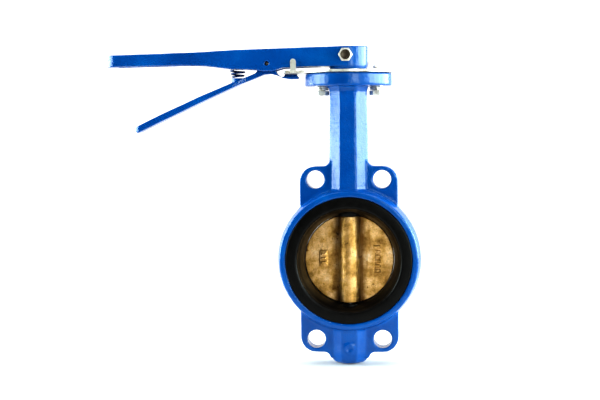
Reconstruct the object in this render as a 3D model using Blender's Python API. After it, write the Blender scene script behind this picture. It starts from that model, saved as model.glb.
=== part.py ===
"""Lever-operated wafer butterfly valve, nominal size DN100 (4 inch).

Frame: the origin is the centre of the bore. The pipe runs along Y, and the front face looks to -Y.
The stem runs along Z, up through the neck to the hand lever, which points to -X when the valve is closed.
Lengths are in metres. The stem turns about Z, and the trigger turns about Y at its pin in the lever.
"""

import math

import bmesh
import bpy
from mathutils import Matrix, Vector

# Clearance between meshes that touch, and the facets of a full circle.
GAP = 0.0003
STEPS_LARGE = 48
STEPS_SMALL = 24

# Pipe faces and body ring.
FACE_TO_FACE = 0.052
METAL_FACE = 0.0254
RING_FACE_RADIUS = 0.0716
RING_MIDDLE_RADIUS = 0.0745
RING_MIDDLE_HALF = 0.009
LIP_RADIUS = 0.0650
LIP_DEPTH = 0.0055
LINER_RADIUS = 0.0590
KEY_RADIUS = 0.0620
KEY_HALF_OUTER = 0.0080
KEY_HALF_INNER = 0.0070

# Pipe-bolt lugs: four of the eight DN100 PN10/16 holes.
BOLT_CIRCLE_RADIUS = 0.090
BOLT_HOLE_RADIUS = 0.0095
BOLT_HOLE_ANGLE = math.radians(22.5)
LUG_HALF_WIDTH = 0.0508
LUG_TOP = 0.0969
LUG_HALF_THICKNESS = 0.011
LUG_CORNER_RADIUS = 0.0160
LUG_FOOT = 0.0420
LUG_COVE_FROM = 0.0200
LUG_COVE_RADIUS = 0.0060
LUG_COVE_RISE = 0.0062

# Neck, bottom boss and top flange (the Z of each, and the width across the octagon's flats).
NECK_FLATS = ((0.0620, 0.0410), (0.1030, 0.0402), (0.1740, 0.0382), (0.1760, 0.0400), (0.1797, 0.0402))
BOSS_FLATS = ((-0.0620, 0.0398), (-0.0980, 0.0388), (-0.1026, 0.0370), (-0.1062, 0.0330),
              (-0.1083, 0.0264), (-0.1090, 0.0180))
FLANGE_RADIUS = 0.045
FLANGE_BOTTOM = 0.1792
FLANGE_TOP = 0.1926
FLANGE_EDGE = 0.0008
COUNTERBORE_RADIUS = 0.0150
COUNTERBORE_FLOOR = FLANGE_TOP - 0.0070
CIRCLIP_GROOVE_RADIUS = 0.0162
CIRCLIP_GROOVE = (FLANGE_TOP - 0.0044, FLANGE_TOP - 0.0024)
CIRCLIP_WIDTH = 0.0026
CIRCLIP_EAR_WIDTH = 0.0056
CIRCLIP_OPENING = math.radians(14)
CIRCLIP_EAR = math.radians(34)

# Stem and what bears it.
STEM_RADIUS = 0.0080
STEM_LOWER_RADIUS = 0.0062
STEM_TOP = 0.2194
STEM_BOTTOM = -0.1000
STEM_SQUARE_HALF = 0.0055
STEM_SQUARE_FROM = 0.1950
STEM_GROOVE_RADIUS = 0.0067
STEM_GROOVE = (COUNTERBORE_FLOOR + 0.0001, COUNTERBORE_FLOOR + 0.0027)
DRIVE_FLAT_HALF = 0.0063
DRIVE_FROM = 0.0020
DRIVE_TO = 0.0380
NECK_BORE_RADIUS = 0.0103
BOSS_BORE_RADIUS = 0.0093
BOSS_BORE_END = -0.1020
STEM_BORE_FROM = 0.0500
UPPER_BUSH = (0.1560, COUNTERBORE_FLOOR - 0.0004)
MIDDLE_BUSH = (0.0650, 0.0870)
LOWER_BUSH = (-0.0985, -0.0680)

# Disc and seat.
SEAT_RADIUS = 0.0469
SEAT_HALF_LENGTH = 0.0080
THROAT = ((0.0482, 0.0115), (0.0504, 0.0170), (0.0528, 0.0238), (0.0537, 0.0254))
LIP_INNER_RADIUS = 0.0551
DISC_RADIUS = 0.0466
DISC_ENDS = (-0.0461, 0.0445)
DISC_RIM_LATITUDE = 0.30
PAD_HEIGHTS = (-0.0464, 0.0448)
PAD_RADIUS = 0.0142
HUB_RADIUS = 0.0115
WING_HALF_AT_HUB = 0.0040
WING_HALF_AT_RIM = 0.0030
HUB_FILLET = 0.0080

# Notch plate.
PLATE_BOTTOM = FLANGE_TOP + GAP
PLATE_THICKNESS = 0.0025
PLATE_TOP = PLATE_BOTTOM + PLATE_THICKNESS
PLATE_RADIUS = 0.050
SECTOR_RADIUS = 0.0673
SECTOR_ANGLES = (math.radians(68), math.radians(202))
SECTOR_FLARE = 0.10
PLATE_BORE_RADIUS = 0.0170
NOTCH_PITCH = math.radians(10)
NOTCH_COUNT = 10
NOTCH_HALF_WIDTH = 0.0026
NOTCH_ROOT = 0.0500
TAB_NEAR = 0.0531
TAB_FAR = 0.0589
TAB_INNER = 0.0175
TAB_THICKNESS = 0.0025
TAB_TOP = 0.2077

# The two bolts that hold the plate to the flange.
PLATE_BOLT_AT = {"left": -0.0275, "right": 0.0292}
PLATE_BOLT_TOP = {"left": 0.1970, "right": 0.2012}
PLATE_BOLT_RADIUS = 0.0040
PLATE_BOLT_HOLE = 0.0044
HEX_FLATS = 0.0130
HEX_HEIGHT = 0.0053
HEX_EDGE = 0.0007
FLAT_WASHER = (0.0043, 0.0071, 0.0014)
SPRING_WASHER = (0.0043, 0.0069, 0.0018)

# Hand lever.
LEVER_HUB_RADIUS = 0.0202
LEVER_HUB_BOTTOM = 0.1968
LEVER_HUB_FOOT_RADIUS = 0.0195
LEVER_TOP_LINE = ((0.0210, 0.2206), (-0.0600, 0.2190), (-0.1220, 0.2177), (-0.1500, 0.2162),
                  (-0.1740, 0.2155), (-0.2530, 0.2137))
LEVER_UNDERSIDE = ((-0.2530, 0.2014), (-0.1740, 0.2026), (-0.1500, 0.2021), (-0.1220, 0.1981),
                   (-0.0945, 0.1971), (-0.0900, 0.1956), (-0.0770, 0.1956), (-0.0675, 0.1986),
                   (-0.0400, 0.1996), (0.0210, 0.1996))
LEVER_HALF_WIDTHS = ((0.0000, 0.0202), (-0.0300, 0.0188), (-0.0560, 0.0169), (-0.1000, 0.0145),
                     (-0.1500, 0.0122), (-0.2000, 0.0126), (-0.2520, 0.0136))
LEVER_END_CORNER = 0.0105
LEVER_CUTTER = (0.186, 0.226)
LEVER_SQUARE_HALF = 0.0059
CHANNEL = (-0.1050, -0.0300)
CHANNEL_HALF_WIDTH = 0.0069
CHANNEL_CEILING = 0.2128
GRIP_POCKET = (-0.2410, -0.1420)
GRIP_POCKET_HALF_WIDTH = 0.0070
GRIP_POCKET_CEILING = 0.2085
POCKET_CORNER = 0.004
CLAMP_BOLT_AT = (-0.0020, 0.2112)
CLAMP_BOLT_DISH = (0.0044, 0.0007)

# Trigger, its pin and its spring.
PIVOT = (-0.0836, 0.0, 0.2034)
PIN_RADIUS = 0.0020
PIN_HALF_LENGTH = 0.0140
TRIGGER_BOSS_RADIUS = 0.0085
TRIGGER_HALF_WIDTHS = ((-0.0490, 0.0060), (-0.1060, 0.0060), (-0.1130, 0.0088), (-0.1200, 0.0100))
TRIGGER_END = -0.2250
TRIGGER_END_CORNER = 0.0080
TRIGGER_TOP_LINE = ((-0.2222, 0.1390), (-0.1963, 0.1516), (-0.1540, 0.1703), (-0.0962, 0.1940))
TRIGGER_UNDERSIDE = ((-0.0512, 0.1873), (-0.0602, 0.1873), (-0.0675, 0.1885), (-0.0735, 0.1912),
                     (-0.0799, 0.1929), (-0.0873, 0.1922), (-0.0967, 0.1883), (-0.1119, 0.1826),
                     (-0.1540, 0.1638), (-0.1964, 0.1440), (-0.2205, 0.1326), (-0.2242, 0.1352))
NOSE_TOP = 0.1900
NOSE = ((-0.0730, NOSE_TOP + 0.0026), (-0.0700, NOSE_TOP), (-0.0512, NOSE_TOP))
TOOTH = (-0.0665, -0.0525)
TOOTH_HALF_WIDTH = 0.0021
TOOTH_TOP = PLATE_BOTTOM - GAP
SPRING_X = -0.1152
SPRING_SEAT_RADIUS = 0.0068
SPRING_SEAT_FOOT = (-0.1160, 0.1800, 0.0050)
SPRING_SEAT_TOP = 0.1890
SPRING_WIRE = 0.0008
SPRING_TURNS = 2.5
SPRING_RADII = (0.0054, 0.0076)
SPRING_HEIGHTS = (0.1902, 0.1968)


def clear_scene():
    for old in list(bpy.data.objects):
        bpy.data.objects.remove(old, do_unlink=True)


def material(name, colour, roughness, metallic):
    made = bpy.data.materials.new(name)
    made.use_nodes = True
    shader = made.node_tree.nodes["Principled BSDF"]
    shader.inputs["Base Color"].default_value = (*colour, 1.0)
    shader.inputs["Roughness"].default_value = roughness
    shader.inputs["Metallic"].default_value = metallic
    made.diffuse_color = (*colour, 1.0)
    return made


# Outlines: lists of (a, b) pairs in a plane.


def arc(centre, radius, start, end, pieces):
    """Points on an arc, both ends included."""
    turn = [start + (end - start) * i / pieces for i in range(pieces + 1)]
    return [(centre[0] + radius * math.cos(t), centre[1] + radius * math.sin(t)) for t in turn]


def circle(radius, steps):
    return arc((0, 0), radius, 0, math.tau * (steps - 1) / steps, steps - 1)


def filleted(corners, pieces=6):
    """A closed outline through (a, b, radius) corners, each rounded by its radius."""
    points = []
    for i, (a, b, radius) in enumerate(corners):
        here = Vector((a, b))
        if radius == 0:
            points.append((a, b))
            continue
        before = (Vector(corners[i - 1][:2]) - here).normalized()
        after = (Vector(corners[(i + 1) % len(corners)][:2]) - here).normalized()
        half = math.acos(max(-1.0, min(1.0, before.dot(after)))) / 2
        centre = here + (before + after).normalized() * radius / math.sin(half)
        first = here + before * radius / math.tan(half) - centre
        last = here + after * radius / math.tan(half) - centre
        sweep = first.angle_signed(last)
        for k in range(pieces + 1):
            spoke = first.copy()
            spoke.rotate(Matrix.Rotation(-sweep * k / pieces, 2))
            points.append(tuple(centre + spoke))
    return points


def polygon(flats, sides):
    """A regular polygon with a flat towards -b, from its width across the flats."""
    corner = flats / 2 / math.cos(math.pi / sides)
    turns = [(i + 0.5) * math.tau / sides - math.pi / 2 for i in range(sides)]
    return [(corner * math.cos(t), corner * math.sin(t)) for t in turns]


# Solids: bmesh builders. An axis name says which way the third coordinate runs.

PLACE = {
    "X": lambda a, b, c: (c, a, b),
    "Y": lambda a, b, c: (a, c, b),
    "Z": lambda a, b, c: (a, b, c),
}


def faces_out(bm):
    bmesh.ops.recalc_face_normals(bm, faces=bm.faces)
    if bm.calc_volume(signed=True) < 0:
        bmesh.ops.reverse_faces(bm, faces=bm.faces)
    return bm


def loft(sections, axis="Z"):
    """A solid through outlines of equal length, each given as (height, outline)."""
    bm = bmesh.new()
    place = PLACE[axis]
    rings = [[bm.verts.new(place(a, b, height)) for a, b in outline] for height, outline in sections]
    for low, high in zip(rings, rings[1:]):
        for i in range(len(low)):
            j = (i + 1) % len(low)
            bm.faces.new((low[i], low[j], high[j], high[i]))
    bm.faces.new(reversed(rings[0]))
    bm.faces.new(rings[-1])
    return faces_out(bm)


def prism(outline, low, high, axis="Z"):
    return loft(((low, outline), (high, outline)), axis)


def box(low, high):
    corners = [(low[0], low[1]), (high[0], low[1]), (high[0], high[1]), (low[0], high[1])]
    return prism(corners, low[2], high[2])


def turned(profile, steps, axis="Z", centre=(0, 0)):
    """A closed (radius, height) profile turned about the axis; a solid where it meets radius 0."""
    bm = bmesh.new()
    place = PLACE[axis]
    rings = []
    for radius, height in profile:
        if radius == 0:
            rings.append([bm.verts.new(place(*centre, height))] * steps)
            continue
        points = [(centre[0] + a, centre[1] + b) for a, b in circle(radius, steps)]
        rings.append([bm.verts.new(place(a, b, height)) for a, b in points])
    for low, high in zip(rings, rings[1:] + rings[:1]):
        if low[0] is low[1] and high[0] is high[1]:
            continue
        for i in range(steps):
            j = (i + 1) % steps
            corners = dict.fromkeys((low[i], low[j], high[j], high[i]))
            bm.faces.new(corners)
    return faces_out(bm)


def cylinder(radius, low, high, axis="Z", centre=(0, 0), steps=STEPS_SMALL):
    points = [(centre[0] + a, centre[1] + b) for a, b in circle(radius, steps)]
    return prism(points, low, high, axis)


def tube(inner, outer, low, high, steps=STEPS_SMALL, centre=(0, 0)):
    profile = ((inner, low), (outer, low), (outer, high), (inner, high))
    return turned(profile, steps, centre=centre)


def joined(parts):
    """Several separate solids in one bmesh, for a cutter."""
    whole = bmesh.new()
    for part in parts:
        mesh = bpy.data.meshes.new("part")
        part.to_mesh(mesh)
        part.free()
        whole.from_mesh(mesh)
        bpy.data.meshes.remove(mesh)
    return whole


# Objects.


def add_object(name, bm, look, parent=None):
    """An object whose origin is its parent's, with its mesh given in world coordinates."""
    origin = parent.location.copy() if parent else Vector((0, 0, 0))
    bmesh.ops.translate(bm, verts=bm.verts, vec=-origin)
    mesh = bpy.data.meshes.new(name)
    bm.to_mesh(mesh)
    bm.free()
    made = bpy.data.objects.new(name, mesh)
    bpy.context.scene.collection.objects.link(made)
    made.parent = parent
    if look:
        mesh.materials.append(look)
        mesh.shade_smooth()
        mesh.set_sharp_from_angle(angle=math.radians(30))
    return made


def helper(name, bm, parent=None):
    made = add_object(name, bm, None, parent)
    made.hide_render = True
    made.display_type = "WIRE"
    return made


def combine(target, operation, name, bm):
    """Joins, cuts or intersects target with a helper solid."""
    parent = target.parent
    modifier = target.modifiers.new(name, "BOOLEAN")
    modifier.operation = operation
    modifier.solver = "EXACT"
    modifier.object = helper(f"{target.name}_{name}", bm, parent)


def joint_axis(name, place):
    empty = bpy.data.objects.new(name, None)
    empty.location = place
    bpy.context.scene.collection.objects.link(empty)
    return empty


# Body casting.


def ring_profile():
    """Half section of the body ring, without its bore, as (radius, Y): drafted either way from the middle."""
    edge = 0.0007
    front = [(0, -METAL_FACE), (RING_FACE_RADIUS - edge, -METAL_FACE), (RING_FACE_RADIUS, -METAL_FACE + edge),
             (RING_MIDDLE_RADIUS, -RING_MIDDLE_HALF)]
    return front + [(radius, -y) for radius, y in reversed(front)]


def bore_profile():
    """The ring's bore, longer than the ring, as (radius, Y), with recesses for the liner's lips and key."""
    step = METAL_FACE - LIP_DEPTH
    far = METAL_FACE + 0.010
    front = [(0, -far), (LIP_RADIUS + GAP, -far), (LIP_RADIUS + GAP, -step), (LINER_RADIUS + GAP, -step),
             (LINER_RADIUS + GAP, -KEY_HALF_INNER), (KEY_RADIUS + GAP, -KEY_HALF_OUTER)]
    return front + [(radius, -y) for radius, y in reversed(front)]


def lug_outline(side):
    """Both lugs above the ring (side 1) or below it (side -1), with coves to the neck or the boss."""
    cove_top = LUG_TOP + LUG_COVE_RISE
    right = [(LUG_HALF_WIDTH, side * LUG_FOOT, 0), (LUG_HALF_WIDTH, side * LUG_TOP, LUG_CORNER_RADIUS),
             (LUG_COVE_FROM, side * LUG_TOP, LUG_COVE_RADIUS), (LUG_COVE_FROM, side * cove_top, 0),
             (LUG_COVE_FROM - 0.0050, side * cove_top, 0)]
    left = [(-a, b, radius) for a, b, radius in reversed(right)]
    return filleted(right + left)


def pipe_bolt_centres():
    across = BOLT_CIRCLE_RADIUS * math.sin(BOLT_HOLE_ANGLE)
    up = BOLT_CIRCLE_RADIUS * math.cos(BOLT_HOLE_ANGLE)
    return [(x, z) for z in (up, -up) for x in (-across, across)]


def build_body(look):
    body = add_object("body_casting", turned(ring_profile(), STEPS_LARGE, "Y"), look)
    for name, side in (("upper_lugs", 1), ("lower_lugs", -1)):
        combine(body, "UNION", name, prism(lug_outline(side), -LUG_HALF_THICKNESS, LUG_HALF_THICKNESS, "Y"))
    neck = [(height, polygon(flats, 8)) for height, flats in NECK_FLATS]
    combine(body, "UNION", "neck", loft(neck))
    boss = [(height, polygon(flats, 8)) for height, flats in BOSS_FLATS]
    combine(body, "UNION", "bottom_boss", loft(boss))
    edge = FLANGE_RADIUS - FLANGE_EDGE
    flange = ((0, FLANGE_BOTTOM), (edge, FLANGE_BOTTOM), (FLANGE_RADIUS, FLANGE_BOTTOM + FLANGE_EDGE),
              (FLANGE_RADIUS, FLANGE_TOP - FLANGE_EDGE), (edge, FLANGE_TOP), (0, FLANGE_TOP))
    combine(body, "UNION", "flange", turned(flange, STEPS_LARGE))
    combine(body, "DIFFERENCE", "bore", turned(bore_profile(), STEPS_LARGE, "Y"))
    above = FLANGE_TOP + 0.01
    low, high = CIRCLIP_GROOVE
    stem_bore = ((0, STEM_BORE_FROM), (NECK_BORE_RADIUS, STEM_BORE_FROM),
                 (NECK_BORE_RADIUS, COUNTERBORE_FLOOR), (COUNTERBORE_RADIUS, COUNTERBORE_FLOOR),
                 (COUNTERBORE_RADIUS, low), (CIRCLIP_GROOVE_RADIUS, low), (CIRCLIP_GROOVE_RADIUS, high),
                 (COUNTERBORE_RADIUS, high), (COUNTERBORE_RADIUS, above), (0, above))
    combine(body, "DIFFERENCE", "stem_bore", turned(stem_bore, STEPS_SMALL))
    combine(body, "DIFFERENCE", "boss_bore", cylinder(BOSS_BORE_RADIUS, BOSS_BORE_END, -STEM_BORE_FROM))
    reach = 2 * LUG_HALF_THICKNESS
    holes = [cylinder(BOLT_HOLE_RADIUS, -reach, reach, "Y", centre) for centre in pipe_bolt_centres()]
    combine(body, "DIFFERENCE", "pipe_bolt_holes", joined(holes))
    holes = [cylinder(PLATE_BOLT_HOLE, FLANGE_BOTTOM - 0.01, above, centre=(x, 0))
             for x in PLATE_BOLT_AT.values()]
    combine(body, "DIFFERENCE", "plate_bolt_holes", joined(holes))


def build_liner(look):
    lip = FACE_TO_FACE / 2
    step = METAL_FACE - LIP_DEPTH + GAP
    throat = [(radius, -depth) for radius, depth in THROAT]
    front = [(SEAT_RADIUS, -SEAT_HALF_LENGTH)] + throat + [
        (LIP_INNER_RADIUS, -lip), (LIP_RADIUS - 0.0008, -lip), (LIP_RADIUS, -lip + 0.0008),
        (LIP_RADIUS, -step), (LINER_RADIUS, -step), (LINER_RADIUS, -KEY_HALF_INNER + GAP),
        (KEY_RADIUS, -KEY_HALF_OUTER + GAP)]
    profile = front + [(radius, -y) for radius, y in reversed(front)]
    liner = add_object("seat_liner", turned(profile, STEPS_LARGE, "Y"), look)
    low, high = PAD_HEIGHTS
    root = SEAT_RADIUS + 0.0080
    pads = [cylinder(PAD_RADIUS, high, root), cylinder(PAD_RADIUS, -root, low)]
    combine(liner, "UNION", "pads", joined(pads))
    holes = [cylinder(STEM_RADIUS + GAP, 0.0400, 0.0700), cylinder(STEM_LOWER_RADIUS + GAP, -0.0700, -0.0400)]
    combine(liner, "DIFFERENCE", "stem_holes", joined(holes))


# Stem, disc and bearings.


def double_d(radius, half_flats):
    """A round with two flats, at +b and -b."""
    reach = math.asin(half_flats / radius)
    return arc((0, 0), radius, -reach, reach, 6) + arc((0, 0), radius, math.pi - reach, math.pi + reach, 6)


def disc_outline():
    """Plan section of the disc: a round hub, coves and two flat wings, as one closed (X, Y) outline."""
    cove_y = WING_HALF_AT_HUB + HUB_FILLET
    cove_x = math.sqrt((HUB_RADIUS + HUB_FILLET) ** 2 - cove_y**2)
    lean = math.atan2(cove_y, cove_x)
    rim = DISC_RADIUS + 0.001
    hub = arc((0, 0), HUB_RADIUS, math.pi - lean, lean, 12)
    right_cove = arc((cove_x, cove_y), HUB_FILLET, math.pi + lean, 1.5 * math.pi, 4)
    left_cove = [(-x, y) for x, y in reversed(right_cove)]
    back = [(-rim, WING_HALF_AT_RIM)] + left_cove[:-1] + hub + right_cove[1:] + [(rim, WING_HALF_AT_RIM)]
    return back + [(x, -y) for x, y in reversed(back)]


def build_disc(look, parent):
    disc = add_object("disc", prism(disc_outline(), *DISC_ENDS), look, parent)
    cap = DISC_RADIUS * math.sin(DISC_RIM_LATITUDE)
    rim = [(DISC_RADIUS * math.cos(t), DISC_RADIUS * math.sin(t))
           for t in (-DISC_RIM_LATITUDE, -0.09, -0.045, 0.045, 0.09, DISC_RIM_LATITUDE)]
    combine(disc, "INTERSECT", "rim", turned([(0, -cap)] + rim + [(0, cap)], 96, "Y"))
    reach = DISC_RADIUS + 0.002
    holes = [cylinder(STEM_LOWER_RADIUS + GAP, -reach, DRIVE_FROM + 0.001),
             prism(double_d(STEM_RADIUS + 2 * GAP, DRIVE_FLAT_HALF + GAP), DRIVE_FROM - GAP, DRIVE_TO + GAP),
             cylinder(STEM_RADIUS + GAP, DRIVE_TO - 0.001, reach)]
    for name, hole in zip(("lower_hole", "drive_hole", "upper_hole"), holes):
        combine(disc, "DIFFERENCE", name, hole)


def build_stem(look, parent):
    edge = 0.0007
    low, high = STEM_GROOVE
    profile = ((0, STEM_BOTTOM), (STEM_LOWER_RADIUS - edge, STEM_BOTTOM),
               (STEM_LOWER_RADIUS, STEM_BOTTOM + edge), (STEM_LOWER_RADIUS, DRIVE_FROM),
               (STEM_RADIUS, DRIVE_FROM), (STEM_RADIUS, low), (STEM_GROOVE_RADIUS, low),
               (STEM_GROOVE_RADIUS, high), (STEM_RADIUS, high), (STEM_RADIUS, STEM_TOP - edge),
               (STEM_RADIUS - edge, STEM_TOP), (0, STEM_TOP))
    stem = add_object("stem", turned(profile, STEPS_SMALL), look, parent)
    reach = 0.012
    half = STEM_SQUARE_HALF
    low, high = STEM_SQUARE_FROM, STEM_TOP + 0.005
    drive = [box((-reach, DRIVE_FLAT_HALF, DRIVE_FROM - 0.001), (reach, reach, DRIVE_TO)),
             box((-reach, -reach, DRIVE_FROM - 0.001), (reach, -DRIVE_FLAT_HALF, DRIVE_TO))]
    combine(stem, "DIFFERENCE", "drive_flats", joined(drive))
    sides = [box((half, -reach, low), (reach, reach, high)),
             box((-reach, -reach, low), (-half, reach, high))]
    combine(stem, "DIFFERENCE", "square_sides", joined(sides))
    fronts = [box((-reach, half, low), (reach, reach, high)),
              box((-reach, -reach, low), (reach, -half, high))]
    combine(stem, "DIFFERENCE", "square_fronts", joined(fronts))
    point = ((0, STEM_TOP - 0.0030), (0.0016, STEM_TOP), (0.0016, STEM_TOP + 0.0010), (0, STEM_TOP + 0.0010))
    combine(stem, "DIFFERENCE", "centre_mark", turned(point, 12))


def o_ring(name, inner, outer, height, look):
    wire = (outer - inner) / 2
    profile = [(inner + wire + a, height + b) for a, b in circle(wire, 8)]
    add_object(name, turned(profile, STEPS_SMALL), look)


def build_bearings(bush, steel, rubber):
    bore = STEM_RADIUS + GAP
    shell = NECK_BORE_RADIUS - GAP
    add_object("upper_bush", tube(bore, shell, *UPPER_BUSH), bush)
    add_object("middle_bush", tube(bore, shell, *MIDDLE_BUSH), bush)
    add_object("lower_bush", tube(STEM_LOWER_RADIUS + GAP, BOSS_BORE_RADIUS - GAP, *LOWER_BUSH), bush)
    o_ring("stem_o_ring_upper", bore, shell, UPPER_BUSH[0] - 0.0014, rubber)
    o_ring("stem_o_ring_lower", bore, shell, MIDDLE_BUSH[1] + 0.0014, rubber)
    o_ring("boss_o_ring", STEM_LOWER_RADIUS + GAP, BOSS_BORE_RADIUS - GAP, LOWER_BUSH[1] + 0.0018, rubber)
    low = COUNTERBORE_FLOOR + GAP
    slot = STEM_GROOVE_RADIUS + GAP
    washer = add_object("thrust_washer", cylinder(COUNTERBORE_RADIUS - GAP, low, low + 0.0018), steel)
    opening = arc((0, 0), slot, -math.pi, 0, 12) + [(slot, 0.020), (-slot, 0.020)]
    combine(washer, "DIFFERENCE", "slot", prism(opening, low - 0.001, low + 0.003))
    build_retaining_ring(steel)


def build_retaining_ring(look):
    """Internal circlip: an open ring with two eared ends, in the counterbore's groove."""
    low, high = CIRCLIP_GROOVE[0] + GAP, CIRCLIP_GROOVE[1] - GAP
    outer = CIRCLIP_GROOVE_RADIUS - GAP
    start = -math.pi / 2
    first, last = start + CIRCLIP_OPENING, start + math.tau - CIRCLIP_OPENING
    ear_first, ear_last = start + CIRCLIP_EAR, start + math.tau - CIRCLIP_EAR
    outside = arc((0, 0), outer, first, last, 28)
    inside = arc((0, 0), outer - CIRCLIP_WIDTH, ear_last, ear_first, 24)
    ears = arc((0, 0), outer - CIRCLIP_EAR_WIDTH, last, ear_last, 2)
    others = arc((0, 0), outer - CIRCLIP_EAR_WIDTH, ear_first, first, 2)
    add_object("retaining_ring", prism(outside + ears + inside + others, low, high), look)


# Notch plate and its bolts.


def plate_outline():
    """A round plate whose notched sector reaches further out, from behind the stem to beside the lever."""
    first, last = SECTOR_ANGLES
    sector = arc((0, 0), SECTOR_RADIUS, first, last, 36)
    body = arc((0, 0), PLATE_RADIUS, last + SECTOR_FLARE, first - SECTOR_FLARE + math.tau, 36)
    return sector + body


def notch_outline(turn):
    """A slot open at the sector's edge, with its round root towards the stem."""
    ends = [(SECTOR_RADIUS + 0.003, NOTCH_HALF_WIDTH), (NOTCH_ROOT + NOTCH_HALF_WIDTH, NOTCH_HALF_WIDTH)]
    root = arc((NOTCH_ROOT + NOTCH_HALF_WIDTH, 0), NOTCH_HALF_WIDTH, math.pi / 2, 1.5 * math.pi, 4)
    outline = ends[:1] + root + [(SECTOR_RADIUS + 0.003, -NOTCH_HALF_WIDTH)]
    return [(a * math.cos(turn) - b * math.sin(turn), a * math.sin(turn) + b * math.cos(turn))
            for a, b in outline]


def tab_outline():
    """Face of a stop tab as (distance from the stem, Z), with a round top."""
    half = (TAB_FAR - TAB_NEAR) / 2
    middle = TAB_NEAR + half
    top = arc((middle, TAB_TOP - half), half, 0, math.pi, 8)
    return [(TAB_FAR, PLATE_BOTTOM + 0.0002)] + top + [(TAB_NEAR, PLATE_BOTTOM + 0.0002)]


def build_plate(look):
    plate = add_object("notch_plate", prism(plate_outline(), PLATE_BOTTOM, PLATE_TOP), look)
    closed_tab = prism([(-a, z) for a, z in tab_outline()], -TAB_INNER - TAB_THICKNESS, -TAB_INNER, "Y")
    open_tab = prism(tab_outline(), TAB_INNER, TAB_INNER + TAB_THICKNESS, "X")
    combine(plate, "UNION", "closed_tab", closed_tab)
    combine(plate, "UNION", "open_tab", open_tab)
    notches = [prism(notch_outline(math.pi / 2 + i * NOTCH_PITCH), PLATE_BOTTOM - 0.001, PLATE_TOP + 0.001)
               for i in range(NOTCH_COUNT)]
    combine(plate, "DIFFERENCE", "notches", joined(notches))
    places = [(0, PLATE_BORE_RADIUS)] + [(x, PLATE_BOLT_HOLE) for x in PLATE_BOLT_AT.values()]
    holes = [cylinder(radius, PLATE_BOTTOM - 0.001, PLATE_TOP + 0.001, centre=(x, 0)) for x, radius in places]
    combine(plate, "DIFFERENCE", "holes", joined(holes))


def hex_head(axis, centre, seat, outward):
    """A hexagon head on its seat, standing along the axis (outward 1 or -1), with a turned-down rim."""
    end = seat + outward * HEX_HEIGHT
    outline = [(centre[0] + a, centre[1] + b) for a, b in polygon(HEX_FLATS, 6)]
    shrink = 1 - HEX_EDGE / (HEX_FLATS / 2)
    small = [(centre[0] + a * shrink, centre[1] + b * shrink) for a, b in polygon(HEX_FLATS, 6)]
    return loft(((seat, outline), (end - outward * HEX_EDGE, outline), (end, small)), axis)


def build_plate_bolts(steel, washer):
    for side, x in PLATE_BOLT_AT.items():
        centre = (x, 0)
        high = FLANGE_BOTTOM - GAP
        inner, outer, thick = FLAT_WASHER
        add_object(f"flat_washer_{side}", tube(inner, outer, high - thick, high, centre=centre), washer)
        high -= thick + GAP
        inner, outer, thick = SPRING_WASHER
        ring = tube(inner, outer, high - thick, high, centre=centre)
        split = add_object(f"spring_washer_{side}", ring, washer)
        slit = box((x - 0.0005, -outer - 0.001, high - 0.005), (x + 0.0005, -inner + 0.001, high + 0.005))
        combine(split, "DIFFERENCE", "slit", slit)
        seat = high - thick - GAP
        bolt = add_object(f"plate_bolt_{side}", hex_head("Z", centre, seat, -1), steel)
        top = PLATE_BOLT_TOP[side]
        shank = ((0, seat - 0.001), (PLATE_BOLT_RADIUS, seat - 0.001), (PLATE_BOLT_RADIUS, top - 0.0016),
                 (0.0034, top - 0.0006), (0.0022, top), (0, top))
        combine(bolt, "UNION", "shank", turned(shank, STEPS_SMALL, centre=centre))


# Hand lever, trigger and spring.


def lever_plan():
    """Plan outline of the lever: round hub, tapering arm and a grip with round corners."""
    hub = arc((0, 0), LEVER_HUB_RADIUS, -math.pi / 2, math.pi / 2, 16)
    back = [(x, half) for x, half in LEVER_HALF_WIDTHS[1:-1]]
    end_x, end_half = LEVER_HALF_WIDTHS[-1]
    radius = LEVER_END_CORNER
    corner = arc((end_x + radius, end_half - radius), radius, math.pi / 2, math.pi, 6)
    front = [(x, -y) for x, y in reversed(back + corner)]
    return hub + back + corner + front


def build_lever(look, parent):
    side = list(LEVER_TOP_LINE) + list(LEVER_UNDERSIDE)
    lever = add_object("lever", prism(side, -0.030, 0.030, "Y"), look, parent)
    combine(lever, "INTERSECT", "plan", prism(lever_plan(), *LEVER_CUTTER))
    foot = cylinder(LEVER_HUB_FOOT_RADIUS, LEVER_HUB_BOTTOM, CLAMP_BOLT_AT[1], steps=32)
    combine(lever, "UNION", "hub_foot", foot)
    half = LEVER_SQUARE_HALF
    low, high = LEVER_CUTTER
    combine(lever, "DIFFERENCE", "square_hole", box((-half, -half, low), (half, half, high)))
    pockets = []
    for (far, near), width, ceiling in ((CHANNEL, CHANNEL_HALF_WIDTH, CHANNEL_CEILING),
                                        (GRIP_POCKET, GRIP_POCKET_HALF_WIDTH, GRIP_POCKET_CEILING)):
        corners = ((far, -width), (near, -width), (near, width), (far, width))
        outline = filleted([(x, y, POCKET_CORNER) for x, y in corners], 3)
        pockets.append(prism(outline, low, ceiling))
    combine(lever, "DIFFERENCE", "underside_pockets", joined(pockets))
    pin_hole = cylinder(PIN_RADIUS + GAP, -0.030, 0.030, "Y", (PIVOT[0], PIVOT[2]), 16)
    combine(lever, "DIFFERENCE", "pin_hole", pin_hole)
    bolt_hole = cylinder(PLATE_BOLT_RADIUS + GAP, -0.030, -half + 0.001, "Y", CLAMP_BOLT_AT)
    combine(lever, "DIFFERENCE", "bolt_hole", bolt_hole)


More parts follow.
